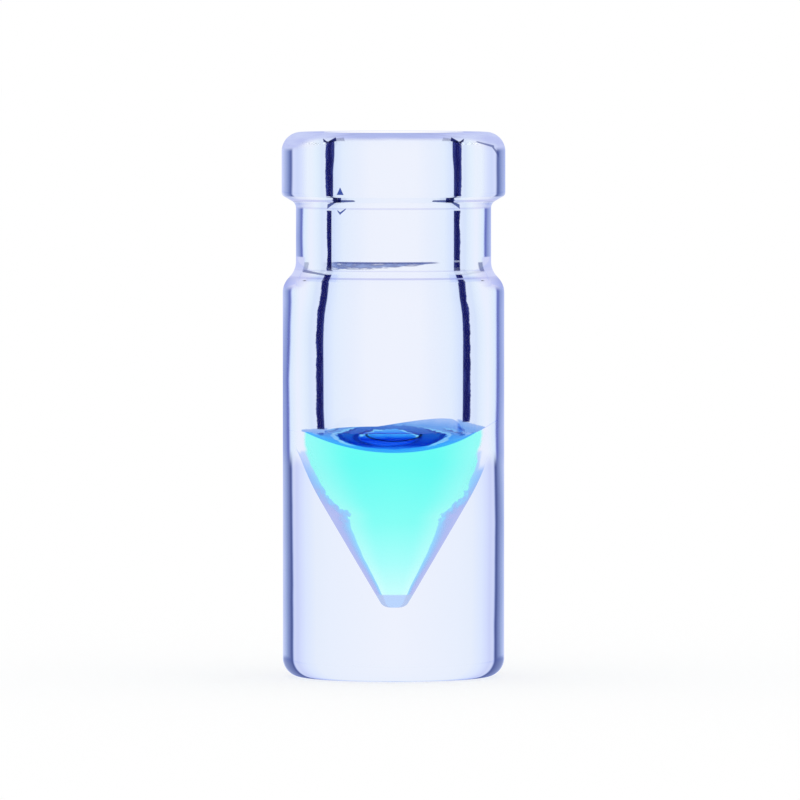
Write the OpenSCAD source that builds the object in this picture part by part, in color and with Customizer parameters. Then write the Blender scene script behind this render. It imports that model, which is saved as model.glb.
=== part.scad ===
/* [Body] */
// Height from the base to the flat land on the rim
height = 26.8; // [25:0.1:36]
// Outside diameter of the body
body_d = 10.9; // [10.6:0.1:13]
// Diameter of the chamber inside the body
chamber_d = 6.9; // [6.5:0.1:8]
// Radius of the rounded edge under the body
base_round = 0.9; // [0.4:0.1:1.4]
// Depth below the rim's land at which the body ends and the shoulder begins
shoulder_depth = 7.5; // [6.8:0.1:10]
// Slope of the shoulder, from the axis
shoulder_angle = 42; // [30:1:60]
// Radius of both bends of the shoulder
shoulder_bend = 1.05; // [0.4:0.05:1.4]

/* [Rim and neck] */
// Outside diameter of the crimp rim
rim_d = 11; // [10.6:0.1:13]
// Height of the rim, from its lower edge to its land
rim_h = 3.1; // [2.4:0.1:3.8]
// Radius of the rim's upper edge
rim_round = 0.95; // [0.3:0.05:1.2]
// Radius of the rim's lower edge
rim_edge = 0.2; // [0.05:0.05:0.3]
// Slope of the rim's underside, from level
rim_under_angle = 30; // [10:1:40]
// Outside diameter of the neck
neck_d = 9.6; // [9.2:0.1:10.2]
// Radius of the fillet between the neck and the rim
neck_fillet = 0.4; // [0.1:0.05:0.5]
// Diameter of the mouth, which is also the bore of the neck
mouth_d = 6; // [5:0.1:6.4]
// Radius of the mouth's upper edge
mouth_round = 0.45; // [0.2:0.05:0.6]
// Depth of the neck's bore, below the rim's land
mouth_depth = 7.2; // [6.5:0.1:8.5]
// Slope of the funnel between the neck's bore and the chamber, from the axis
funnel_angle = 11; // [8:1:40]
// Radius of both bends of the funnel
funnel_bend = 4; // [0.5:0.5:6]

/* [Well] */
// Thickness of the solid glass under the well
floor_t = 3.5; // [2:0.1:5]
// Diameter of the well's floor
tip_d = 0.7; // [0.4:0.1:1.2]
// Radius of the edge around the well's floor
tip_round = 0.35; // [0.1:0.05:0.5]
// Slope of the well's cone, from the axis
well_angle = 21.6; // [19:0.1:26]
// Radius of the long bend between the cone and the chamber
well_bend = 15; // [1:1:20]

/* [Sample] */
// Depth of the liquid at the wall, above the well's floor
fill_depth = 8.6; // [6:0.1:10]
// Sag of the liquid's hollow surface
meniscus_sag = 1.05; // [0.3:0.05:1.4]
// Thickness of the liquid's upper edge, where it wets the glass
wetting_edge = 0.05; // [0.03:0.01:0.1]

/* [Hidden] */
$fn = 96;

// Steps along each rounded corner of an outline
corner_steps = 10;
// How far the hollow runs past the rim's land, to open it cleanly
overrun = 1;

body_r = body_d / 2;
chamber_r = chamber_d / 2;
rim_r = rim_d / 2;
neck_r = neck_d / 2;
mouth_r = mouth_d / 2;
tip_r = tip_d / 2;

// Outside: where the shoulder would leave the body and reach the neck, were it not bent
shoulder_z = height - shoulder_depth;
neck_z = shoulder_z + (body_r - neck_r) / tan(shoulder_angle);

// Outside: the rim's lower edge, and where its underside would meet the neck
rim_z = height - rim_h;
under_z = rim_z - (rim_r - neck_r) * tan(rim_under_angle);

// Inside: where the funnel would leave the neck's bore and reach the chamber
mouth_z = height - mouth_depth;
funnel_z = mouth_z - (chamber_r - mouth_r) / tan(funnel_angle);

// Inside: where the cone would reach the chamber's wall
well_z = floor_t + (chamber_r - tip_r) / tan(well_angle);

// Each corner of an outline is [distance from the axis, height, radius of its rounding]
function place(corner) = [corner[0], corner[1]];

function span(from, to) = norm(place(to) - place(from));

function heading(from, to) = (place(to) - place(from)) / span(from, to);

// How much of an edge the rounding of one end may take up
function share(corner, neighbour) = span(corner, neighbour) / (neighbour[2] == 0 ? 1 : 2);

// An arc that touches both edges of a corner
function rounded(before, corner, after) =
    let (
        back = heading(corner, before),
        on = heading(corner, after),
        half = acos(back * on) / 2,
        reach = min(corner[2] / tan(half), share(corner, before), share(corner, after)),
        centre = place(corner) + (back + on) / norm(back + on) * reach / cos(half),
        first = place(corner) + back * reach - centre,
        last = place(corner) + on * reach - centre,
        sweep = 180 - 2 * half
    )
    [for (i = [0 : corner_steps])
        let (part = sweep * i / corner_steps)
        centre + (sin(sweep - part) * first + sin(part) * last) / sin(sweep)];

// The outline through the corners, each rounded by its own radius
function outline(corners) = [
    for (i = [0 : len(corners) - 1])
        each corners[i][2] == 0
            ? [place(corners[i])]
            : rounded(corners[i - 1], corners[i], corners[i + 1])
];

outside = outline([
    [0, 0, 0],
    [body_r, 0, base_round],
    [body_r, shoulder_z, shoulder_bend],
    [neck_r, neck_z, shoulder_bend],
    [neck_r, under_z, neck_fillet],
    [rim_r, rim_z, rim_edge],
    [rim_r, height, rim_round],
    [0, height, 0]
]);

inside = outline([
    [0, floor_t, 0],
    [tip_r, floor_t, tip_round],
    [chamber_r, well_z, well_bend],
    [chamber_r, funnel_z, funnel_bend],
    [mouth_r, mouth_z, funnel_bend],
    [mouth_r, height, mouth_round],
    [mouth_r + mouth_round, height, 0],
    [mouth_r + mouth_round, height + overrun, 0],
    [0, height + overrun, 0]
]);

// Liquid: the level and the distance from the axis at which its surface leaves the wall
fill_z = floor_t + fill_depth;
fill_r = lookup(fill_z, [for (p = inside) [p[1], p[0]]]) - wetting_edge;

// The ball that hollows the liquid passes through that edge and sags below it
meniscus_r = (pow(fill_r, 2) + pow(meniscus_sag, 2)) / (2 * meniscus_sag);
meniscus_z = fill_z - meniscus_sag + meniscus_r;

// Thick-walled glass body with a crimp rim, a neck, a chamber and a conical well
module vial() {
    color([0.86, 0.89, 0.99, 0.45])
    difference() {
        rotate_extrude() polygon(outside);
        rotate_extrude() polygon(inside);
    }
}

// The sample fills the well and the foot of the chamber, under a hollow surface
module sample_liquid() {
    color([0.43, 1, 0.96, 0.85])
    difference() {
        intersection() {
            rotate_extrude() polygon(inside);
            cylinder(r = body_r, h = fill_z);
        }
        translate([0, 0, meniscus_z]) sphere(meniscus_r);
    }
}

vial();
sample_liquid();
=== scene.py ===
"""A glass sample vial with a crimp rim and a conical well, and the cyan liquid in it."""
import math

import bpy
import numpy as np
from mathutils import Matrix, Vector


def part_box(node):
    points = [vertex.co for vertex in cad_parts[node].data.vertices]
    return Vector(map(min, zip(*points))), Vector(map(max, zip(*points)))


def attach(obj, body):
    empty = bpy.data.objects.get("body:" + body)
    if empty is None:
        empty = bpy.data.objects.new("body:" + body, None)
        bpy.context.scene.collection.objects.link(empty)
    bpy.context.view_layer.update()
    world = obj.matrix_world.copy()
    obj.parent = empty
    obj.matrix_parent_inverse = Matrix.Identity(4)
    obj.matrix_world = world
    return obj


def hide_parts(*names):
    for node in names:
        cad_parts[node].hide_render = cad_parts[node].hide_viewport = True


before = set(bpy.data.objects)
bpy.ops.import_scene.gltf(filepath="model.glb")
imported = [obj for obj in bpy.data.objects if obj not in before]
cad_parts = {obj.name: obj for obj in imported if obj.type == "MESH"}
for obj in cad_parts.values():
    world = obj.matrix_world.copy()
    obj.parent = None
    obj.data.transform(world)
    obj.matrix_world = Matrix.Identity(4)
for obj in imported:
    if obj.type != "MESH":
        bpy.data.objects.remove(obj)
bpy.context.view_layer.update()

MM = 0.001

# Driving dimensions of the glass, in mm
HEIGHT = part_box("vial")[1].z / MM
RIM_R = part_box("vial")[1].x / MM
BODY_R = 5.45
NECK_R = 4.8
MOUTH_R = 3.0
CHAMBER_R = 3.45
TIP_R = 0.35
BASE_ROUND = 0.9
SHOULDER_DEPTH = 7.5
SHOULDER_ANGLE = 42
SHOULDER_BEND = 1.05
RIM_H = 3.1
RIM_ROUND = 0.95
RIM_EDGE = 0.2
RIM_UNDER_ANGLE = 30
NECK_FILLET = 0.4
MOUTH_ROUND = 0.45
MOUTH_DEPTH = 7.2
FUNNEL_ANGLE = 11
FUNNEL_BEND = 4.0
TIP_ROUND = 0.35
WELL_ANGLE = 21.6
WELL_BEND = 15.0

# Driving dimensions of the liquid, in mm
FLOOR_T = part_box("sample_liquid")[0].z / MM
FILL_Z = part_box("sample_liquid")[1].z / MM
MENISCUS_SAG = 1.15
# The liquid climbs the wall a little on one side: how far, in which direction, and over how
# wide an angle behind and before that
CLIMB = 0.5
CLIMB_TOWARDS = math.radians(25)
CLIMB_BEHIND = math.radians(80)
CLIMB_BEFORE = math.radians(45)
# How full its curve is, as a power of a cosine, and how steeply the surface's edge bends up to it
CLIMB_POWER = 1.1
LIFT_POWER = 5
# How far up and down the wall the rings of the mesh make way for it
CLIMB_REACH = 1.8
# How far the liquid's wall is let into the glass, so that no air shows between them
WETTING = 0.02
# The hollow's wall turns nearly upright at the liquid's level: its radius there, the height at which
# it begins to turn, and how far below the funnel's corner it meets its plain outline again
UPRIGHT_R = 3.43
UPRIGHT_FROM = 10.6
UPRIGHT_END = 0.5
# How far the hollow's axis stands to one side of the body's, by height
DRIFTS = ((10.0, 0.03), (13.0, -0.01), (16.5, -0.01), (18.5, 0.0))
# How far to one side the rings on the liquid's surface lie
RINGS_SHIFT = -0.1
# How much further out the hollow's wall stands than its plain outline, by height: it steps out under
# the neck
WIDER = ((12.1, 0.0), (13.2, 0.025), (16.5, 0.025), (17.1, 0.01), (17.5, 0.03), (17.9, 0.075),
         (18.3, 0.09), (18.65, 0.1), (19.05, 0.135), (19.45, 0.17), (19.7, 0.09), (19.95, 0.0))

# Fineness of the turned meshes
TURN_STEPS = 256
CORNER_STEPS = 14
EDGE_STEP = 0.6
MENISCUS_STEPS = 40
# The least angle between two faces of the liquid that shows as an edge
SHARP_ANGLE = math.radians(35)

GLASS_IOR = 1.5
LIQUID_IOR = 1.33


# Outlines

def rounded(before, corner, after):
    """Points of an arc that touches both edges of a corner (distance from the axis, height, radius)."""
    here, radius = np.array(corner[:2]), corner[2]
    back, on = np.array(before[:2]) - here, np.array(after[:2]) - here
    room = min(np.linalg.norm(back) / (2 if before[2] else 1),
               np.linalg.norm(on) / (2 if after[2] else 1))
    back, on = back / np.linalg.norm(back), on / np.linalg.norm(on)
    half = math.acos(float(back @ on)) / 2
    reach = min(radius / math.tan(half), room)
    centre = here + (back + on) / np.linalg.norm(back + on) * reach / math.cos(half)
    first, last = here + back * reach - centre, here + on * reach - centre
    sweep = math.pi - 2 * half
    parts = np.linspace(0, sweep, CORNER_STEPS + 1)
    return [centre + (math.sin(sweep - p) * first + math.sin(p) * last) / math.sin(sweep) for p in parts]


def outline(corners):
    """The line through the corners, each rounded by its own radius, with long edges cut into steps."""
    points = []
    for i, corner in enumerate(corners):
        if corner[2] == 0:
            points.append(np.array(corner[:2], float))
        else:
            points += rounded(corners[i - 1], corner, corners[i + 1])
    fine = [points[0]]
    for a, b in zip(points, points[1:]):
        steps = max(1, int(np.linalg.norm(b - a) / EDGE_STEP))
        fine += [a + (b - a) * k / steps for k in range(1, steps + 1)]
    return fine


def slope(degrees):
    return math.tan(math.radians(degrees))


shoulder_z = HEIGHT - SHOULDER_DEPTH
neck_z = shoulder_z + (BODY_R - NECK_R) / slope(SHOULDER_ANGLE)
rim_z = HEIGHT - RIM_H
under_z = rim_z - (RIM_R - NECK_R) * slope(RIM_UNDER_ANGLE)
mouth_z = HEIGHT - MOUTH_DEPTH
funnel_z = mouth_z - (CHAMBER_R - MOUTH_R) / slope(FUNNEL_ANGLE)
well_z = FLOOR_T + (CHAMBER_R - TIP_R) / slope(WELL_ANGLE)

outside = outline([
    (0, 0, 0),
    (BODY_R, 0, BASE_ROUND),
    (BODY_R, shoulder_z, SHOULDER_BEND),
    (NECK_R, neck_z, SHOULDER_BEND),
    (NECK_R, under_z, NECK_FILLET),
    (RIM_R, rim_z, RIM_EDGE),
    (RIM_R, HEIGHT, RIM_ROUND),
    (MOUTH_R + MOUTH_ROUND, HEIGHT, 0),
])

inside = outline([
    (0, FLOOR_T, 0),
    (TIP_R, FLOOR_T, TIP_ROUND),
    (CHAMBER_R, well_z, WELL_BEND),
    (CHAMBER_R, funnel_z, FUNNEL_BEND),
    (MOUTH_R, mouth_z, FUNNEL_BEND),
    (MOUTH_R, HEIGHT, MOUTH_ROUND),
    (MOUTH_R + MOUTH_ROUND, HEIGHT, 0),
])


def upright_above_liquid(points):
    """The hollow's outline, with its wall made nearly upright from the liquid's level up."""
    level_r = float(np.interp(FILL_Z, [p[1] for p in points], [p[0] for p in points]))
    end = funnel_z - UPRIGHT_END
    fine = []
    for r, z in points:
        if UPRIGHT_FROM < z < FILL_Z:
            part = (z - UPRIGHT_FROM) / (FILL_Z - UPRIGHT_FROM)
            r += (UPRIGHT_R - level_r) * part * part * (3 - 2 * part)
        elif FILL_Z <= z < end:
            r = UPRIGHT_R + (CHAMBER_R - UPRIGHT_R) * (z - FILL_Z) / (end - FILL_Z)
        fine.append((float(r), float(z)))
    below = sum(z < FILL_Z for r, z in fine)
    return fine[:below] + [(UPRIGHT_R, FILL_Z)] + fine[below:]


def stepped_under_neck(points):
    """The hollow's outline, widened above the liquid, with a ring at each height where that changes."""
    start, end = WIDER[0][0], WIDER[-1][0]
    radii, heights = zip(*points)
    within = sorted({z for z in heights if start < z < end} | {z for z, wider in WIDER if z > start})
    moved = [(float(np.interp(z, heights, radii) + np.interp(z, *zip(*WIDER))), z) for z in within]
    return [p for p in points if p[1] <= start] + moved + [p for p in points if p[1] > end]


inside = stepped_under_neck(upright_above_liquid(inside))


def wall_radius(z):
    """Distance of the hollow's wall from the axis at a height."""
    return float(np.interp(z, [p[1] for p in inside], [p[0] for p in inside]))


def climb(angle):
    """How far the liquid's edge stands above its level, at an angle round the axis."""
    off = (angle - CLIMB_TOWARDS + math.pi) % (2 * math.pi) - math.pi
    part = off / CLIMB_BEHIND if off > 0 else -off / CLIMB_BEFORE
    return CLIMB * math.cos(part * math.pi / 2) ** CLIMB_POWER if part < 1 else 0.0


def wall_point(z, angle, inset=0.0):
    """A point of the hollow's wall. Heights near the liquid's level shift with its edge."""
    off = abs(z - FILL_Z) / CLIMB_REACH
    if off < 1:
        z += climb(angle) * math.cos(off * math.pi / 2) ** 2
    return wall_radius(z) + inset, z


def drift(z):
    """How far the hollow's axis stands off the body's, along X, at a height."""
    return float(np.interp(z, *zip(*DRIFTS)))


# Meshes

ANGLES = [2 * math.pi * i / TURN_STEPS for i in range(TURN_STEPS)]


def ring(place, drifts=True):
    """Points round the axis. place gives the distance from the axis and the height for an angle."""
    if place(0.0)[0] < 1e-6:
        z = place(0.0)[1]
        return [(drift(z) if drifts else 0.0, 0.0, z)]
    places = [(place(a), a) for a in ANGLES]
    return [(r * math.cos(a) + (drift(z) if drifts else 0.0), r * math.sin(a), z) for (r, z), a in places]


def linked(name, data):
    """A new object in the scene."""
    thing = bpy.data.objects.new(name, data)
    bpy.context.scene.collection.objects.link(thing)
    return thing


def turned(name, rings, slots):
    """A closed mesh from rings of points, from pole to pole, with a material slot for each band."""
    verts, starts = [], []
    for points in rings:
        starts.append(len(verts))
        verts += points
    faces, face_slots = [], []
    for k in range(len(rings) - 1):
        a, b = starts[k], starts[k + 1]
        for i in range(TURN_STEPS):
            j = (i + 1) % TURN_STEPS
            if len(rings[k]) == 1:
                faces.append((a, b + j, b + i))
            elif len(rings[k + 1]) == 1:
                faces.append((a + i, a + j, b))
            else:
                faces.append((a + i, a + j, b + j, b + i))
            face_slots.append(slots[k])
    mesh = bpy.data.meshes.new(name)
    mesh.from_pydata([tuple(c * MM for c in v) for v in verts], [], faces)
    mesh.polygons.foreach_set("material_index", face_slots)
    mesh.polygons.foreach_set("use_smooth", [True] * len(faces))
    mesh.update()
    return linked(name, mesh)


PLAIN, EDGE, DRY, WET = range(4)
# Heights between which the outside is bent: the shoulder, the rim's underside and the rim's top
BENT = ((18.9, 20.6), (22.85, 23.95), (HEIGHT - RIM_ROUND - 0.01, HEIGHT + 0.01))


def outside_slot(z):
    return EDGE if any(low < z < high for low, high in BENT) else PLAIN


def glass_mesh():
    """Up the outside from the base to the land on the rim, then down the hollow to the well's floor."""
    rings = [ring(lambda a, p=p: (float(p[0]), float(p[1])), drifts=False) for p in outside]
    slots = [outside_slot((a[1] + b[1]) / 2) for a, b in zip(outside, outside[1:])]
    for r, z in inside[::-1][1:]:
        near = abs(z - FILL_Z) < CLIMB_REACH
        rings.append(ring((lambda a, z=z: wall_point(z, a)) if near else (lambda a, p=(r, z): p)))
        slots.append(DRY if z >= FILL_Z else WET)
    return turned("vial_glass", rings, slots)


WALL, SURFACE, SKIRT = range(3)


def meniscus_radius():
    """Radius of the ball that hollows the liquid's surface."""
    edge_r = wall_radius(FILL_Z)
    return (edge_r ** 2 + MENISCUS_SAG ** 2) / (2 * MENISCUS_SAG)


def liquid_mesh():
    """Up the wetted wall, a little way into the glass, then in along the hollow surface to the axis."""
    ball_r = meniscus_radius()

    def bowl(r):
        return ball_r - math.sqrt(ball_r ** 2 - r ** 2)

    def surface_point(part, angle):
        rim_r, rim_height = wall_point(FILL_Z, angle)
        lift = rim_height - (FILL_Z - MENISCUS_SAG + bowl(rim_r))
        return rim_r * part, FILL_Z - MENISCUS_SAG + bowl(rim_r * part) + lift * part ** LIFT_POWER

    rings, slots = [], []
    for r, z in inside:
        if z >= FILL_Z:
            break
        if r == 0:
            rings.append(ring(lambda a: (0.0, FLOOR_T - WETTING)))
        elif z < FLOOR_T + TIP_ROUND:
            rings.append(ring(lambda a, p=(r + WETTING / 2, z - WETTING): p))
        else:
            rings.append(ring(lambda a, z=z: wall_point(z, a, WETTING)))
        slots.append(WALL)
    rings.append(ring(lambda a: wall_point(FILL_Z, a, WETTING)))
    slots.append(SKIRT)
    for part in np.linspace(1, 0, MENISCUS_STEPS):
        rings.append(ring(lambda a, part=float(part): surface_point(part, a)))
        slots.append(SURFACE)
    piece = turned("sample_liquid_fill", rings, slots[:-1])
    piece.data.set_sharp_from_angle(angle=SHARP_ANGLE)
    return piece


# Materials

def srgb(red, green, blue):
    """A colour from its screen values, 0 to 255."""
    return tuple(v / 12.92 if v <= 0.04045 else ((v + 0.055) / 1.055) ** 2.4
                 for v in (red / 255, green / 255, blue / 255))


# A stroke's thickness where it starts, as a share of that at its end, and how softly both ends fade,
# as a share of its length
STROKE_START = 0.4
STROKE_FADE = 0.06
# Keeps a square root's argument above zero on level surfaces
TINY = 0.0001


class Nodes:
    """The node tree of a material or a world, with short calls for what the looks here need."""

    def __init__(self, block):
        block.use_nodes = True
        self.tree = block.node_tree
        self.tree.nodes.clear()

    def add(self, kind, inputs=None, **settings):
        node = self.tree.nodes.new(kind)
        for key, value in settings.items():
            setattr(node, key, value)
        for key, value in (inputs or {}).items():
            if isinstance(value, bpy.types.NodeSocket):
                self.tree.links.new(value, node.inputs[key])
            elif isinstance(value, tuple) and len(value) == 3 and node.inputs[key].type == "RGBA":
                node.inputs[key].default_value = (*value, 1)
            else:
                node.inputs[key].default_value = value
        return node

    def calc(self, operation, *values):
        return self.add("ShaderNodeMath", dict(enumerate(values)), operation=operation).outputs[0]

    def times(self, *values):
        """The product of any number of values."""
        product = values[0]
        for value in values[1:]:
            product = self.calc("MULTIPLY", product, value)
        return product

    def most(self, *values):
        """The largest of any number of values."""
        largest = values[0]
        for value in values[1:]:
            largest = self.calc("MAXIMUM", largest, value)
        return largest

    def other(self, value):
        return self.calc("SUBTRACT", 1.0, value)

    def fade(self, value, start, end):
        """0 before start and 1 past end, smooth between them."""
        return self.add("ShaderNodeMapRange", {"Value": value, "From Min": start, "From Max": end},
                        interpolation_type="SMOOTHSTEP").outputs["Result"]

    def between(self, value, low, high, soft):
        """1 from low to high, with soft ends."""
        return self.times(self.fade(value, low - soft, low), self.fade(value, high + soft, high))

    def stroke(self, along, up, start, end, half, soft):
        """A straight stroke between two (along, up) places, thinner where it starts than where it ends.
        half is half its thickness at its end."""
        span = end[0] - start[0]
        past = self.calc("SUBTRACT", along, start[0])
        middle = self.calc("MULTIPLY_ADD", past, (end[1] - start[1]) / span, start[1])
        part = self.calc("DIVIDE", past, span)
        off = self.calc("ABSOLUTE", self.calc("SUBTRACT", up, middle))
        reach = self.calc("MULTIPLY_ADD", part, half * (1 - STROKE_START), half * STROKE_START)
        within = self.fade(self.calc("SUBTRACT", off, reach), soft, 0.0)
        low, high = sorted((start[0], end[0]))
        ends = self.between(along, low, high, abs(span) * STROKE_FADE)
        return self.times(within, ends)

    def ramp(self, value, stops):
        """A colour that changes with a value, through (position, colour) stops."""
        node = self.add("ShaderNodeValToRGB", {"Fac": value})
        elements = node.color_ramp.elements
        while len(elements) < len(stops):
            elements.new(0.5)
        for element, (position, colour) in zip(elements, stops):
            element.position = position
            element.color = (*colour, 1)
        return node.outputs["Color"]

    def by_height(self, height, low, high, stops):
        """A colour or a number that changes with height, through (height, value) stops."""
        share = self.calc("DIVIDE", self.calc("SUBTRACT", height, low), high - low)
        return self.ramp(share, [
            ((z - low) / (high - low), value if isinstance(value, tuple) else (value,) * 3)
            for z, value in stops])

    def blend(self, factor, a, b, kind="MIX"):
        mixed = self.add("ShaderNodeMix", {0: factor, 6: a, 7: b}, data_type="RGBA", blend_type=kind)
        return mixed.outputs[2]

    def scaled(self, vector, factors):
        """A vector times a factor along each axis."""
        return self.add("ShaderNodeVectorMath", {0: vector, 1: factors}, operation="MULTIPLY").outputs[0]

    def place(self):
        """Where a point lies on the piece, in mm."""
        return self.scaled(self.add("ShaderNodeTexCoord").outputs["Object"], (1 / MM,) * 3)

    def parts(self, vector):
        return self.add("ShaderNodeSeparateXYZ", {0: vector}).outputs

    def right_of(self, across, soft=0.1):
        """1 on the right of the axis and 0 on the left, smooth between them."""
        return self.fade(across, -soft, soft)

    def noise(self, place, size, stretch=(1, 1, 1), detail=2.0):
        """Smooth noise about 0, whose grains are about size mm wide, times stretch."""
        grains = self.scaled(place, tuple(1 / (size * s) for s in stretch))
        value = self.add("ShaderNodeTexNoise", {"Vector": grains, "Scale": 1.0, "Detail": detail})
        return self.calc("SUBTRACT", value.outputs[0], 0.5)

    def cosine(self):
        """Cosine of the angle between the ray and the surface's normal."""
        facing = self.add("ShaderNodeLayerWeight", {"Blend": 0.5}).outputs["Facing"]
        return self.other(facing)

    def sine_of(self, cosine):
        square = self.calc("MULTIPLY", cosine, cosine)
        return self.calc("SQRT", self.calc("MAXIMUM", self.other(square), 0.0))

    def tilt(self):
        """How far the surface's normal leans from level: the sine of the angle, with its sign."""
        normal = self.add("ShaderNodeTexCoord").outputs["Normal"]
        return self.parts(normal)["Z"]

    def sine_round(self, cosine):
        """The sine with the lean of the surface left out: how far round the side a place lies."""
        square = self.calc("POWER", self.tilt(), 2.0)
        upright = self.calc("SQRT", self.calc("SUBTRACT", 1.0 + TINY, square))
        return self.sine_of(self.calc("MINIMUM", self.calc("DIVIDE", cosine, upright), 1.0))

    def backfacing(self):
        return self.add("ShaderNodeNewGeometry").outputs["Backfacing"]

    def mix(self, factor, a, b):
        return self.add("ShaderNodeMixShader", {0: factor, 1: a.outputs[0], 2: b.outputs[0]})

    def surface(self, shader):
        out = self.add("ShaderNodeOutputMaterial")
        self.tree.links.new(shader.outputs[0], out.inputs["Surface"])


def new_material(name):
    material = bpy.data.materials.new(name)
    return material, Nodes(material)


WHITE = (1.0, 1.0, 1.0)
GLASS_TINT = srgb(238, 242, 254)
# Painted shade of the dark curls at the bends
CURL_SHADE = srgb(60, 76, 146)

# Colours of the outer wall against the sine of the angle at which it's seen, from head-on to edge-on:
# where the glass is solid, where it's the wall of the chamber or the neck, and on the rim. Past the glass's
# tint they are painted shade: a dark line near the edge, with paler shading beside it
SOLID = [
    (0.0, GLASS_TINT),
    (0.574, srgb(232, 239, 254)),
    (0.7, srgb(229, 237, 253)),
    (0.79, srgb(219, 230, 255)),
    (0.835, srgb(210, 220, 254)),
    (0.865, srgb(201, 210, 249)),
    (0.893, srgb(205, 214, 248)),
    (0.901, srgb(192, 203, 245)),
    (0.909, srgb(122, 136, 194)),
    (0.916, srgb(62, 78, 142)),
    (0.924, srgb(76, 90, 152)),
    (0.938, srgb(108, 123, 180)),
    (0.952, srgb(128, 144, 200)),
    (0.968, srgb(152, 170, 216)),
    (0.982, srgb(182, 194, 236)),
    (1.0, srgb(226, 234, 254)),
]
WALLED = [
    (0.0, GLASS_TINT),
    (0.5, srgb(236, 241, 254)),
    (0.85, srgb(233, 239, 255)),
    (0.885, srgb(226, 237, 253)),
    (0.912, srgb(218, 233, 254)),
    (0.92, srgb(206, 222, 254)),
    (0.928, srgb(150, 164, 226)),
    (0.936, srgb(92, 104, 180)),
    (0.946, srgb(104, 118, 194)),
    (0.958, srgb(130, 146, 205)),
    (0.97, srgb(146, 162, 216)),
    (0.983, srgb(168, 182, 230)),
    (1.0, srgb(206, 214, 248)),
]
RIM = [
    (0.0, GLASS_TINT),
    (0.6, srgb(236, 241, 254)),
    (0.78, srgb(231, 240, 254)),
    (0.83, srgb(215, 225, 254)),
    (0.868, srgb(205, 217, 251)),
    (0.904, srgb(210, 220, 253)),
    (0.912, srgb(170, 182, 226)),
    (0.921, srgb(88, 102, 162)),
    (0.93, srgb(90, 105, 167)),
    (0.942, srgb(116, 133, 190)),
    (0.956, srgb(140, 156, 210)),
    (0.975, srgb(166, 180, 226)),
    (0.988, srgb(188, 200, 242)),
    (1.0, srgb(216, 224, 252)),
]
# How far the painted dark line near the edge stands off its usual place, by height in mm, left and right
LEFT_SHIFTS = ((2.8, -0.002), (7.7, 0.004), (12.1, 0.012), (14.6, 0.019), (18.5, -0.006),
               (21.7, 0.006), (24.3, -0.008))
RIGHT_SHIFTS = ((2.8, 0.004), (7.7, 0.013), (12.1, -0.002), (14.6, 0.003), (18.5, 0.003),
                (21.7, 0.003), (24.3, 0.01))
# A ramp holds no number below 0, so each shift is stored with this added
SHIFT_ZERO = 0.5
# How far that line wavers, as a sine
WAVER = 0.014
# Heights between which one look of the outside gives way to the next, in mm: the straight wall to the
# rounding under it, the solid foot to the chamber's wall, and the neck to the rim
TO_FOOT = (1.1, 0.8)
TO_WALLED = (10.3, 11.3)
TO_RIM = (23.2, 23.6)
# The rough streak under the neck: where it starts, to the left of the axis, and how long it is, in mm
STREAK_START = -2.75
STREAK_LENGTH = 5.1
# The wedge-shaped mark on the rim: its place across, its top and bottom, and half its width for each
# mm below the top
WEDGE_ACROSS = -2.6
WEDGE_TOP = 24.14
WEDGE_BOTTOM = 23.8
WEDGE_SPREAD = 0.46


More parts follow.
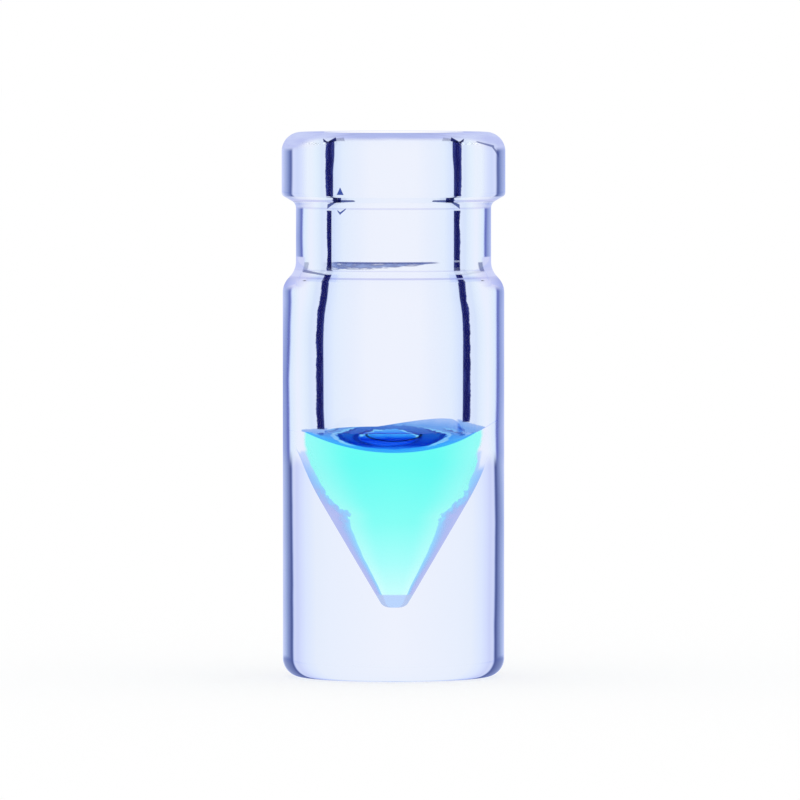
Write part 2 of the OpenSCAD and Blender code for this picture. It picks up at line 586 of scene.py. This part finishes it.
class OutsideLook:
    """What the outer wall's materials share: its colour at a place and an angle, and how much painted
    lavender reflection covers it.
    """

    def __init__(self, net):
        self.net = net
        self.place = net.place()
        self.across, self.depth, self.height = (net.parts(self.place)[k] for k in "XYZ")
        self.lean = net.calc("ABSOLUTE", net.tilt())
        cosine = net.cosine()
        self.sine = net.sine_of(cosine)
        self.round = net.sine_round(cosine)
        self.waver = net.times(net.noise(self.place, 1.6, (1, 1, 2), 3.0), WAVER)
        self.front = net.other(net.backfacing())
        self.normal = self.soft_normal()

    def soft_normal(self):
        """The bends are soft, so light goes through most of them as through the straight wall."""
        net = self.net
        outward = net.add("ShaderNodeCombineXYZ", {"X": self.across, "Y": self.depth, "Z": 0.0})
        outward = net.add("ShaderNodeVectorMath", {0: outward.outputs[0]}, operation="NORMALIZE").outputs[0]
        own = net.add("ShaderNodeNewGeometry").outputs["Normal"]
        facing = net.add("ShaderNodeVectorMath", {0: outward, 1: own}, operation="DOT_PRODUCT")
        side = net.calc("SIGN", facing.outputs["Value"])
        outward = net.add("ShaderNodeVectorMath", {0: outward, "Scale": side}, operation="SCALE").outputs[0]
        turned_away = net.fade(self.lean, 0.7, 0.92)
        return net.add("ShaderNodeMix", {0: turned_away, 4: outward, 5: own}, data_type="VECTOR").outputs[1]

    def colour(self):
        """The colour that the wall gives to what is behind it, with painted shade lines drawn into it."""
        net, height = self.net, self.height
        at_foot = net.fade(height, *TO_FOOT)
        low = net.most(at_foot, net.between(height, 23.2, 23.9, 0.05))
        seen = net.calc("ADD", net.times(self.sine, net.other(low)), net.times(self.round, low))
        shift = net.blend(net.right_of(self.across), self.shifts(LEFT_SHIFTS), self.shifts(RIGHT_SHIFTS))
        wavy = net.calc("ADD", seen, self.waver)
        wavy = net.calc("SUBTRACT", wavy, net.calc("SUBTRACT", shift, SHIFT_ZERO))
        up = net.fade(net.calc("ADD", height, net.times(net.noise(self.place, 1.5), 0.8)), *TO_WALLED)
        colour = net.blend(up, net.ramp(wavy, SOLID), net.ramp(wavy, WALLED))
        colour = net.blend(net.fade(height, *TO_RIM), colour, net.ramp(wavy, RIM))
        # Just under the rim the glass has painted shade: pale head-on and darker at its sides
        under = net.ramp(self.round, [
            (0.0, GLASS_TINT),
            (0.8, srgb(236, 241, 254)),
            (0.9, srgb(218, 225, 250)),
            (0.96, srgb(184, 195, 238)),
            (1.0, srgb(204, 213, 246)),
        ])
        colour = net.blend(net.between(height, 23.14, 23.64, 0.05), colour, under)

        # Painted shade on the bends: pale head-on, lavender at their edges
        bend = net.ramp(self.sine, [
            (0.0, GLASS_TINT),
            (0.84, srgb(235, 240, 254)),
            (0.93, srgb(208, 212, 248)),
            (0.97, srgb(188, 195, 240)),
            (1.0, srgb(168, 177, 230)),
        ])
        bent = net.times(net.fade(self.lean, 0.1, 0.4), net.fade(height, 12.0, 13.0),
                         net.other(net.between(height, 23.1, 23.75, 0.1)))
        colour = net.blend(bent, colour, bend)

        # The painted dark line near the edge ends above the neck's foot
        pale = net.times(net.between(height, 19.75, 20.65, 0.08), net.fade(self.round, 0.895, 0.925))
        colour = net.blend(pale, colour, srgb(206, 212, 248))

        # Painted shade where the rounding under the base turns away: a light blue line, and a darker one in
        # its corner
        foot = net.ramp(self.sine, [
            (0.0, WHITE),
            (0.93, WHITE),
            (0.98, (0.92, 0.94, 0.99)),
            (1.0, (0.7, 0.76, 0.95)),
        ])
        colour = net.blend(at_foot, colour, net.blend(1.0, colour, foot, "MULTIPLY"))
        corner = net.times(net.between(self.round, 0.93, 0.985, 0.015), net.fade(height, 1.15, 0.9), 0.6)
        colour = net.blend(corner, colour, srgb(88, 102, 160))
        return self.thin_lines(self.soft_top(colour))

    def shifts(self, stops):
        """The shift of the dark line at this height, as the ramp stores it."""
        return self.net.by_height(self.height, 0.0, HEIGHT, [(z, SHIFT_ZERO + shift) for z, shift in stops])

    def soft_top(self, colour):
        """Painted soft lavender reflection on the rim's rounded top."""
        net = self.net
        streaks = net.noise(self.place, 0.35, (6, 6, 1), 3.0)
        shade = net.calc("ADD", net.fade(streaks, -0.2, 0.2), net.fade(self.round, 0.3, 0.7))
        lavender = net.ramp(net.calc("MULTIPLY", shade, 0.5), [
            (0.0, srgb(176, 186, 235)),
            (0.5, srgb(190, 198, 243)),
            (1.0, srgb(204, 213, 248)),
        ])
        return net.blend(self.top_share(), colour, lavender)

    def top_share(self):
        """How much painted lavender shows at a place on the rim's rounded top: a band, and its two upper
        corners.
        """
        net = self.net
        level = net.calc("ADD", self.height, net.times(net.noise(self.place, 1.2, (1, 1, 3)), 0.06))
        band = net.fade(level, 26.38, 26.62)
        corners = net.times(net.fade(self.sine, 0.8, 0.9), net.fade(level, 25.86, 26.12))
        return net.most(band, corners)

    def thin_lines(self, colour):
        """Painted shade rings and curls at the bends and the mouth, a rough streak, and two small marks on
        the front.
        """
        net, height, side = self.net, self.height, self.round
        # Painted lavender shade lines round the bends
        rings = net.most(
            net.between(height, 19.66, 19.71, 0.04),
            net.times(net.between(height, 20.04, 20.07, 0.03), 0.5),
            net.times(net.between(height, 23.08, 23.12, 0.04), 0.6),
            net.times(net.between(height, 23.44, 23.5, 0.05), net.fade(side, 0.57, 0.65)),
        )
        colour = net.blend(net.times(rings, 0.75), colour, srgb(192, 196, 240))

        # A rough streak where the neck meets the shoulder, on the front, thinner towards the right
        part = net.calc("DIVIDE", net.calc("SUBTRACT", self.across, STREAK_START), STREAK_LENGTH)
        grain = net.noise(self.place, 0.1, (7, 7, 1.6), 4.0)
        bottom = net.calc("POWER", net.calc("MAXIMUM", part, 0.0), 1.6)
        bottom = net.calc("MULTIPLY_ADD", bottom, 0.3, 20.15)
        bottom = net.calc("MULTIPLY_ADD", grain, 0.3, bottom)
        above = net.fade(net.calc("SUBTRACT", height, bottom), -0.04, 0.03)
        body = net.times(net.fade(height, 20.52, 20.46), above)
        body = net.times(body, net.between(part, 0.0, 0.8, 0.16), net.fade(grain, -0.3, 0.02))
        front = net.fade(self.depth, 0.0, -0.5)
        shade = net.blend(net.fade(grain, -0.1, 0.12), srgb(70, 88, 158), srgb(128, 148, 204))
        colour = net.blend(net.times(body, front, 0.9), colour, shade)
        brow = net.between(height, 20.44, 20.49, 0.03)
        brow = net.times(brow, net.between(part, 0.04, 0.9, 0.1), front)
        colour = net.blend(net.times(brow, 0.8), colour, srgb(78, 92, 160))

        # Painted shade: dark curls at the ends of the bends
        right = net.right_of(self.across)
        curls = net.most(
            net.stroke(side, height, (0.45, 23.49), (0.62, 23.47), 0.06, 0.03),
            net.stroke(side, height, (0.605, 23.45), (0.68, 23.2), 0.1, 0.02),
            net.stroke(side, height, (0.61, 23.5), (0.57, 23.72), 0.12, 0.02),
            net.times(net.stroke(side, height, (0.66, 19.86), (0.9, 20.02), 0.05, 0.03),
                      net.calc("MULTIPLY_ADD", right, -0.6, 0.8)),
            net.times(net.between(side, 0.875, 0.905, 0.015), net.between(height, 20.02, 20.42, 0.05),
                      net.calc("MULTIPLY_ADD", right, 0.25, 0.5)),
            net.times(net.stroke(side, height, (0.76, 26.36), (0.9, 26.12), 0.05, 0.025), right, 0.8),
            net.times(net.stroke(side, height, (0.88, 26.16), (0.94, 25.7), 0.09, 0.03), right, 0.8),
        )
        colour = net.blend(net.times(curls, 0.92), colour, CURL_SHADE)

        # The painted dark line of the mouth parts into two wisps of painted shade in the rim's rounding
        bulge = net.calc("MAXIMUM", net.calc("SUBTRACT", height, HEIGHT - RIM_ROUND), 0.0)
        inward = net.calc("SQRT", net.calc("SUBTRACT", RIM_ROUND ** 2, net.times(bulge, bulge)))
        radius = net.calc("ADD", inward, RIM_R - RIM_ROUND)
        off_axis = net.times(side, radius)
        wisps = net.most(
            net.stroke(off_axis, height, (3.2, 26.34), (3.38, 26.45), 0.06, 0.03),
            net.stroke(off_axis, height, (3.1, 26.37), (2.72, 26.5), 0.075, 0.03),
            net.times(net.stroke(off_axis, height, (2.84, 26.47), (2.3, 26.5), 0.06, 0.05), 0.4),
        )
        colour = net.blend(net.times(wisps, self.front), colour, srgb(34, 40, 104))

        # Two small marks on the front, on the rim and under it
        from_apex = net.calc("SUBTRACT", WEDGE_TOP, height)
        off = net.calc("ABSOLUTE", net.calc("SUBTRACT", self.across, WEDGE_ACROSS))
        off = net.calc("SUBTRACT", off, net.times(from_apex, WEDGE_SPREAD))
        wedge = net.times(net.fade(off, 0.03, -0.01), net.between(height, WEDGE_BOTTOM, WEDGE_TOP, 0.02))
        tick = net.most(
            net.stroke(self.across, height, (-2.73, 23.0), (-2.6, 22.86), 0.05, 0.02),
            net.stroke(self.across, height, (-2.34, 23.08), (-2.62, 22.86), 0.05, 0.02),
        )
        marks = net.times(net.most(wedge, tick), front)
        return net.blend(marks, colour, srgb(66, 86, 166))

    def painted_cover_share(self):
        """The share of the painted lavender reflection, against what is seen through it."""
        return self.net.times(self.top_share(), 0.9, self.front)


# Share of the outer wall's gloss. The room is plain white, so more would only wash the lines out
GLOSS = 0.1
# Sines between which light on its way out goes from leaving the glass to being held in it
TRAPPED = (0.645, 0.662)


def outside_shader(net, look, colour):
    """Clear glass that tints what is seen through it. Past total reflection it lets light out."""
    # The way in takes the colour, and the way out is clear. The glossy shader tints by the colour's
    # root, so it's given the square.
    bent = net.add("ShaderNodeBsdfRefraction", {
        "Color": net.blend(look.front, WHITE, colour),
        "Roughness": 0.0,
        "IOR": GLASS_IOR,
        "Normal": look.normal,
    })
    gloss = net.add("ShaderNodeBsdfPrincipled", {
        "Base Color": net.blend(look.front, WHITE, net.blend(1.0, colour, colour, "MULTIPLY")),
        "Roughness": 0.0,
        "IOR": GLASS_IOR,
        "Transmission Weight": 1.0,
    })
    glass = net.mix(GLOSS, bent, gloss)
    trapped = net.times(net.other(look.front), net.fade(look.sine, *TRAPPED))
    # The upright wall tints that light faintly, and the base and the bends leave it white
    passed = net.blend(net.fade(look.lean, 0.3, 0.6), srgb(236, 240, 254), WHITE)
    through = net.add("ShaderNodeBsdfTransparent", {"Color": passed})
    return net.mix(trapped, glass, through)


def outside_glass():
    """The straight outer wall and the base."""
    material, net = new_material("outside_glass")
    look = OutsideLook(net)
    net.surface(outside_shader(net, look, look.colour()))
    return material


def edge_glass():
    """The bends of the outer wall. Painted lavender reflection covers the rim's rounded top."""
    material, net = new_material("edge_glass")
    look = OutsideLook(net)
    colour = look.colour()
    painted_cover = net.add("ShaderNodeBsdfDiffuse", {"Color": colour})
    net.surface(net.mix(look.painted_cover_share(), outside_shader(net, look, colour), painted_cover))
    return material


# Places on the dry wall's line, as sines: where total reflection starts, and where the line ends
CRITICAL = 1 / GLASS_IOR
LINE_END = CRITICAL * 1.1
# Heights between which the line fades out under the rim's top, and those between which the mouth's
# rounded edge begins to let light straight through
LINE_TOP = (26.4, 26.34)
MOUTH_EDGE = (26.2, 26.3)
# How far above the liquid's level the line begins on the left, and how much more on the right
LINE_BOTTOM = 0.14
LINE_BOTTOM_RIGHT = 0.36


def dry_glass():
    """The dry wall of the hollow. A painted dark line stands where total reflection starts at it."""
    material, net = new_material("dry_glass")
    place = net.place()
    across, height = (net.parts(place)[k] for k in "XZ")
    sine = net.sine_round(net.cosine())
    past = net.calc("SUBTRACT", sine, CRITICAL)
    back = net.backfacing()

    # From inside the glass: a painted dark line just past the angle of total reflection, beside a painted
    # pale shade
    rough = net.calc("ADD", net.times(net.noise(place, 0.9), 0.03),
                     net.times(net.noise(place, 0.12), 0.014))
    right = net.right_of(across)
    left = net.other(right)
    # It's wider on the rim, and narrower on the left of the neck
    narrow = net.times(left, net.between(height, 20.1, 23.0, 0.1))
    start = net.calc("MULTIPLY_ADD", narrow, 0.018, CRITICAL)
    start = net.calc("MULTIPLY_ADD", net.fade(height, 24.8, 25.8), -0.014, start)
    end = net.calc("MULTIPLY_ADD", net.fade(height, 23.3, 23.6), 0.012, LINE_END)
    line = net.times(net.fade(net.calc("SUBTRACT", sine, start), -0.012, -0.002),
                     net.fade(net.calc("SUBTRACT", net.calc("ADD", sine, rough), end), 0.0, -0.01))
    # It breaks off under the rim and at the shoulder's bend, and on the right at two places more
    gaps = net.most(
        net.between(height, 22.99, 23.66, 0.03),
        net.times(net.between(height, 19.85, 20.01, 0.03), 0.85),
        net.times(net.between(height, 19.61, 19.66, 0.02), right, 0.8),
        net.times(net.between(height, 20.46, 20.52, 0.03), right, 0.4),
    )
    bottom = net.calc("MULTIPLY_ADD", right, LINE_BOTTOM_RIGHT, FILL_Z + LINE_BOTTOM)
    line = net.times(line, net.fade(height, *LINE_TOP), net.other(gaps))
    line = net.times(line, net.fade(net.calc("SUBTRACT", height, bottom), 0.0, 0.06))
    within = net.calc("DIVIDE", past, LINE_END - CRITICAL)
    line_shade = net.ramp(net.calc("ADD", within, net.times(net.noise(place, 0.3, (1, 1, 2)), 0.9)), [
        (0.0, srgb(48, 56, 124)),
        (0.3, srgb(26, 28, 92)),
        (0.7, srgb(28, 30, 98)),
        (1.0, srgb(56, 64, 134)),
    ])
    shade = net.ramp(sine, [
        (0.25, WHITE),
        (0.385, (0.955, 0.975, 1.0)),
        (0.5, (0.925, 0.965, 1.0)),
        (0.556, (0.9, 0.955, 1.0)),
        (0.613, (0.83, 0.9, 1.0)),
        (0.66, (0.77, 0.85, 0.985)),
        (0.735, (0.85, 0.9, 0.99)),
        (0.783, (0.81, 0.88, 0.97)),
        (0.812, (0.88, 0.945, 0.98)),
        (0.85, (0.94, 0.99, 1.0)),
        (0.897, WHITE),
    ])
    # A film of the liquid above its level, higher on the right
    right_top = net.calc("MULTIPLY_ADD", past, -1.7, FILL_Z + 0.585)
    right_top = net.calc("MINIMUM", right_top, FILL_Z + 0.67)
    left_top = net.calc("MULTIPLY_ADD", past, -0.6, FILL_Z + 0.225)
    top = net.calc("ADD", net.times(right, right_top), net.times(left, left_top))
    above = net.calc("ADD", net.calc("SUBTRACT", height, top), net.times(net.noise(place, 0.25), 0.06))
    begins = net.calc("MULTIPLY_ADD", right, -0.02, 0.645)
    begun = net.fade(net.calc("SUBTRACT", sine, begins), -0.03, 0.01)
    film = net.times(net.fade(above, 0.03, -0.03), begun, net.fade(sine, 0.89, 0.87), 0.88)
    wet = net.calc("ADD", net.calc("MULTIPLY", above, -3.0), net.noise(place, 0.2, (1, 1, 2), 3.0))
    wet = net.ramp(wet, [
        (0.0, srgb(160, 188, 238)),
        (0.4, srgb(138, 184, 240)),
        (1.0, srgb(112, 170, 236)),
    ])
    arc = net.times(net.stroke(sine, height, (0.6, 12.44), (0.68, 12.2), 0.06, 0.03), right, 0.8)
    wet = net.blend(arc, wet, srgb(40, 100, 200))
    shade = net.blend(film, shade, wet)
    tint = net.blend(back, WHITE, net.blend(line, shade, line_shade))
    glass = net.add("ShaderNodeBsdfGlass", {"Color": tint, "Roughness": 0.0, "IOR": GLASS_IOR})
    # The mouth's rounded edge lets light straight through
    through = net.add("ShaderNodeBsdfTransparent", {"Color": tint})
    lets = net.times(back, net.fade(height, *MOUTH_EDGE))
    net.surface(net.mix(lets, glass, through))
    return material


def wet_glass():
    """The wall of the well under the liquid. Light bends at the liquid's own wall, not at this one."""
    material, net = new_material("wet_glass")
    net.surface(net.add("ShaderNodeBsdfTransparent"))
    return material


# Where the cyan ends, as a share of the half width, by height in mm, left and right
LEFT_REACH = ((4.0, 0.68), (6.0, 0.765), (7.4, 0.75), (8.1, 0.68), (8.5, 0.78), (8.85, 0.84),
              (9.66, 0.895), (10.45, 0.91), (11.04, 0.925), (11.5, 0.9), (12.1, 0.87))
RIGHT_REACH = ((4.0, 0.68), (6.0, 0.765), (7.4, 0.75), (8.0, 0.71), (8.4, 0.8), (8.85, 0.88),
               (9.66, 0.895), (10.45, 0.9), (11.04, 0.885), (12.1, 0.872))


def liquid_wall():
    """Cyan liquid against the glass. Past its edge, a pale band of painted reflection where the glass
    reflects.
    """
    material, net = new_material("liquid_wall")
    place = net.place()
    across, height = (net.parts(place)[k] for k in "XZ")
    right = net.right_of(across, 0.3)
    sine = net.sine_round(net.cosine())

    body = net.by_height(height, 0.0, FILL_Z, [
        (4.1, (0.68, 1.0, 1.0)),
        (5.7, (0.46, 1.0, 0.98)),
        (7.7, (0.28, 1.0, 0.93)),
        (10.6, (0.17, 1.0, 0.91)),
    ])
    reach = net.blend(right, net.by_height(height, 0.0, FILL_Z, LEFT_REACH),
                      net.by_height(height, 0.0, FILL_Z, RIGHT_REACH))
    # Thinner liquid towards its edge, so it's paler there
    share = net.calc("DIVIDE", sine, reach)
    body = net.blend(net.times(net.fade(share, 0.45, 1.08), 0.26), body, WHITE)
    # The glass in front takes a little green, which the liquid's own clear colour makes up for
    body = net.blend(1.0, body, (1.0, 1.127, 1.0), "MULTIPLY")
    ragged = net.times(net.noise(place, 0.3, detail=4.0), net.between(height, 7.9, 9.0, 0.6))
    wavy = net.calc("ADD", net.times(ragged, 0.3), net.times(net.noise(place, 0.8), 0.06))
    past = net.calc("ADD", net.calc("SUBTRACT", sine, reach), wavy)
    # The band's colours are painted reflection
    band = net.ramp(net.calc("DIVIDE", net.calc("MAXIMUM", past, 0.0), 0.25), [
        (0.0, (0.36, 0.83, 1.0)),
        (0.2, (0.38, 0.7, 1.0)),
        (0.4, (0.43, 0.62, 0.93)),
        (0.65, (0.52, 0.58, 0.9)),
        (1.0, (0.57, 0.6, 0.89)),
    ])
    band = net.blend(net.times(net.fade(height, 9.6, 11.0), 0.8), band, srgb(222, 230, 254))
    # On the right it ends early near the liquid's surface
    ended = net.times(right, net.fade(height, 10.1, 10.5), net.fade(past, 0.015, 0.045))
    band = net.blend(ended, band, WHITE)
    lobe = net.calc("ADD", height, net.times(net.noise(place, 1.2), 0.5))
    band = net.blend(net.fade(lobe, 11.05, 11.25), band, WHITE)
    # A crisp edge below, and a soft one near the liquid's surface
    crisp = net.fade(past, -0.008, 0.008)
    soft = net.fade(past, -0.04, 0.004)
    entry = net.blend(net.blend(net.fade(height, 10.6, 11.3), crisp, soft), body, band)
    tip = net.blend(net.fade(sine, 0.6, 0.72), srgb(200, 225, 255), srgb(196, 212, 242))
    entry = net.blend(net.fade(height, 4.16, 4.08), entry, tip)
    tint = net.blend(net.backfacing(), entry, WHITE)
    net.surface(net.add("ShaderNodeBsdfGlass", {
        "Color": tint, "Roughness": 0.0, "IOR": LIQUID_IOR / GLASS_IOR}))
    return material


# The scale of heights that the painted reflection rings on the liquid's surface are drawn on, in mm, and
# how much higher on it the side seen from the air lies
RINGS_LOW = 11.1
RINGS_HIGH = 12.8
AIR_LIFT = 0.22
# The photograph looks down a little: how far that shifts the part of a distance along the view, in mm
ALONG_SHIFT = 0.33


def liquid_surface():
    """The hollow surface. At a low angle it shows painted deep blue reflection rings, and it's cyan when
    looked down on.
    """
    material, net = new_material("liquid_surface")
    place = net.place()
    x, y, height = (net.parts(place)[k] for k in "XYZ")
    cosine = net.cosine()
    back = net.backfacing()

    # From below: the part of the distance from the axis that lies along the view, and that across it
    x = net.calc("SUBTRACT", x, drift(FILL_Z) + RINGS_SHIFT)
    out = net.calc("ADD", net.times(x, x), net.times(y, y))
    along = net.calc("MULTIPLY_ADD", cosine, meniscus_radius(), ALONG_SHIFT)
    square = net.calc("SUBTRACT", out, net.times(along, along))
    from_below = net.calc("SQRT", net.calc("MAXIMUM", square, 0.0))
    # The liquid widens what is seen through it, so the rings are drawn wider for the view from the air
    from_air = net.times(net.calc("ABSOLUTE", x), net.other(back), 1 / LIQUID_IOR)
    across = net.calc("ADD", net.times(from_below, back), from_air)
    up = net.calc("MULTIPLY_ADD", net.other(back), AIR_LIFT, height)
    up = net.calc("ADD", up, net.times(net.noise(place, 0.4, detail=4.0), 0.17))

    grain = net.times(net.noise(place, 0.2, detail=4.0), 0.2)

    def oval(half_across, half_below, half_above, middle):
        """0 in the middle of a rough oval and 1 on its edge. It may reach further down than up."""
        off = net.calc("SUBTRACT", up, middle)
        a = net.calc("DIVIDE", across, half_across)
        b = net.calc("MAXIMUM", net.calc("DIVIDE", off, half_above),
                     net.calc("DIVIDE", off, -half_below))
        share = net.calc("SQRT", net.calc("ADD", net.times(a, a), net.times(b, b)))
        return net.calc("ADD", share, grain)

    def by_height(*stops):
        """A colour at each height on the rings' scale, from screen values."""
        return net.by_height(up, RINGS_LOW, RINGS_HIGH, [(z, srgb(*colour)) for z, colour in stops])

    wide = oval(1.97, 0.8, 0.36, 12.03)
    small_half = net.calc("MULTIPLY_ADD", net.right_of(x, 0.3), -0.29, 1.21)
    small = oval(small_half, 0.45, 0.36, 11.87)
    # Painted reflection: the rings' colours outside the wide oval, within it, and within the small one
    rest = by_height(
        (11.2, (48, 160, 252)),
        (11.35, (52, 165, 252)),
        (11.5, (60, 168, 252)),
        (11.64, (60, 160, 248)),
        (11.8, (70, 170, 247)),
        (11.96, (75, 164, 240)),
        (12.08, (90, 155, 225)),
        (12.25, (112, 168, 232)),
        (12.41, (110, 170, 237)),
        (12.56, (142, 186, 242)),
        (12.75, (175, 203, 247)),
    )
    deep = by_height(
        (11.2, (30, 125, 245)),
        (11.32, (25, 115, 240)),
        (11.39, (10, 80, 215)),
        (11.48, (3, 50, 190)),
        (11.64, (0, 55, 193)),
        (11.8, (14, 78, 203)),
        (11.96, (16, 88, 197)),
        (12.08, (32, 97, 195)),
        (12.25, (50, 112, 204)),
        (12.4, (85, 140, 220)),
    )
    bright = by_height(
        (11.2, (44, 140, 255)),
        (11.3, (47, 160, 253)),
        (11.37, (60, 175, 255)),
        (11.42, (25, 110, 238)),
        (11.5, (15, 92, 236)),
        (11.64, (14, 82, 232)),
        (11.74, (5, 60, 215)),
        (11.8, (0, 48, 205)),
        (11.88, (15, 90, 228)),
        (11.96, (32, 124, 240)),
        (12.08, (60, 158, 246)),
        (12.3, (100, 186, 254)),
    )
    rings = net.blend(net.fade(wide, 1.04, 0.97), rest, deep)
    rings = net.blend(net.fade(small, 1.02, 0.9), rings, bright)
    # Painted reflection at the ovals' ends, dark within and light without
    outer_end, inner_end = net.fade(across, 1.25, 1.7), net.fade(across, 0.72, 0.95)
    beyond = net.times(net.fade(across, 2.0, 2.3), net.fade(up, 11.9, 12.0))
    dark = net.most(
        net.times(net.between(wide, 0.9, 0.98, 0.04), outer_end, 0.7),
        net.times(net.between(small, 1.0, 1.12, 0.05), inner_end, 0.9),
        net.times(net.between(wide, 1.3, 1.35, 0.04), beyond, 0.6),
    )
    light = net.most(
        net.times(net.between(wide, 1.05, 1.1, 0.04), outer_end, 0.75),
        net.times(net.between(small, 0.84, 0.93, 0.05), net.between(across, 0.45, 0.95, 0.15),
                  net.fade(up, 11.88, 11.98), 0.8),
        net.times(net.between(wide, 1.42, 1.48, 0.05), beyond, 0.5),
    )
    rings = net.blend(dark, rings, srgb(8, 44, 160))
    rings = net.blend(light, rings, srgb(145, 215, 250))
    # A painted bright blue line of reflection near the surface's edge
    below = net.blend(net.fade(net.sine_of(cosine), 0.965, 0.993), rings, srgb(56, 176, 254))
    # The liquid in front takes most of the red from what is seen through it, so more is given here
    below = net.blend(1.0, below, (6.5, 1.0, 1.12), "MULTIPLY")
    grazing = net.blend(back, rings, below)

    glass = net.add("ShaderNodeBsdfGlass", {
        "Color": srgb(108, 255, 245), "Roughness": 0.0, "IOR": LIQUID_IOR})
    # From below the surface is a mirror at a low angle, tinted by the painted rings, and from above the
    # painted rings tint what is behind it
    mirror = net.add("ShaderNodeBsdfGlossy", {"Color": grazing, "Roughness": 0.0})
    clear = net.add("ShaderNodeBsdfTransparent", {"Color": grazing})
    sheen = net.mix(back, clear, mirror)
    low = net.calc("ADD", net.times(back, net.fade(cosine, 0.7, 0.66)),
                   net.times(net.other(back), net.fade(cosine, 0.9, 0.78)))
    net.surface(net.mix(low, glass, sheen))
    return material


# The pieces

glass = glass_mesh()
for material in (outside_glass(), edge_glass(), dry_glass(), wet_glass()):
    glass.data.materials.append(material)
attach(glass, "root")
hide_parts("vial")

liquid = liquid_mesh()
for material in (liquid_wall(), liquid_surface(), glass.data.materials[WET]):
    liquid.data.materials.append(material)
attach(liquid, "root")
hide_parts("sample_liquid")


# The room

# The floor's half width and how far it lies under the base, in metres
FLOOR_HALF = 3.0
FLOOR_GAP = 0.00003
# Share of the floor's white that the camera sees without the vial's shadow
FLOOR_GLOW = 0.6


def make_floor():
    """White paper. The camera sees the vial's faint shadow on it, and glass shows it as plain white."""
    s = FLOOR_HALF
    mesh = bpy.data.meshes.new("floor")
    corners = [(x, y, -FLOOR_GAP) for x, y in ((-s, -s), (s, -s), (s, s), (-s, s))]
    mesh.from_pydata(corners, [], [(0, 1, 2, 3)])
    floor = linked("floor", mesh)
    material, net = new_material("floor_paper")
    path = net.add("ShaderNodeLightPath").outputs
    share = net.most(net.times(path["Is Camera Ray"], FLOOR_GLOW), path["Is Glossy Ray"],
                     path["Is Transmission Ray"])
    paper = net.add("ShaderNodeBsdfDiffuse", {"Color": WHITE})
    glow = net.add("ShaderNodeEmission", {"Color": WHITE, "Strength": 1.0})
    net.surface(net.mix(share, paper, glow))
    mesh.materials.append(material)


def make_world():
    """Even white light from all round."""
    world = bpy.data.worlds.new("studio")
    net = Nodes(world)
    light = net.add("ShaderNodeBackground", {"Color": WHITE, "Strength": 1.0})
    out = net.add("ShaderNodeOutputWorld")
    net.tree.links.new(light.outputs[0], out.inputs["Surface"])
    bpy.context.scene.world = world


# The photograph, in pixels: its side, the place of the vial's axis and base, and the rim's width
PHOTO_SIDE = 800
AXIS_ACROSS = 393.5
BASE_DOWN = 676.5
RIM_ACROSS = 223.5
# The camera's distance in front of the vial and its height, in metres
CAMERA_AWAY = 0.55
CAMERA_UP = 0.034


def make_camera():
    """The photograph's view: nearly level, from a little above the rim, with a long lens."""
    data = bpy.data.cameras.new("camera")
    camera = linked("camera", data)
    pixel = 2 * RIM_R / RIM_ACROSS * MM
    middle = PHOTO_SIDE / 2
    target = Vector(((middle - AXIS_ACROSS) * pixel, 0, (BASE_DOWN - middle) * pixel))
    camera.location = Vector((target.x, -CAMERA_AWAY, CAMERA_UP))
    away = target - camera.location
    camera.rotation_mode = "QUATERNION"
    camera.rotation_quaternion = away.to_track_quat("-Z", "Y")
    data.sensor_width = 36
    data.lens = data.sensor_width * away.length / (PHOTO_SIDE * pixel)
    data.clip_start, data.clip_end = 0.05, 50
    bpy.context.scene.camera = camera


make_floor()
make_world()
make_camera()
bpy.context.scene.view_settings.view_transform = "Standard"
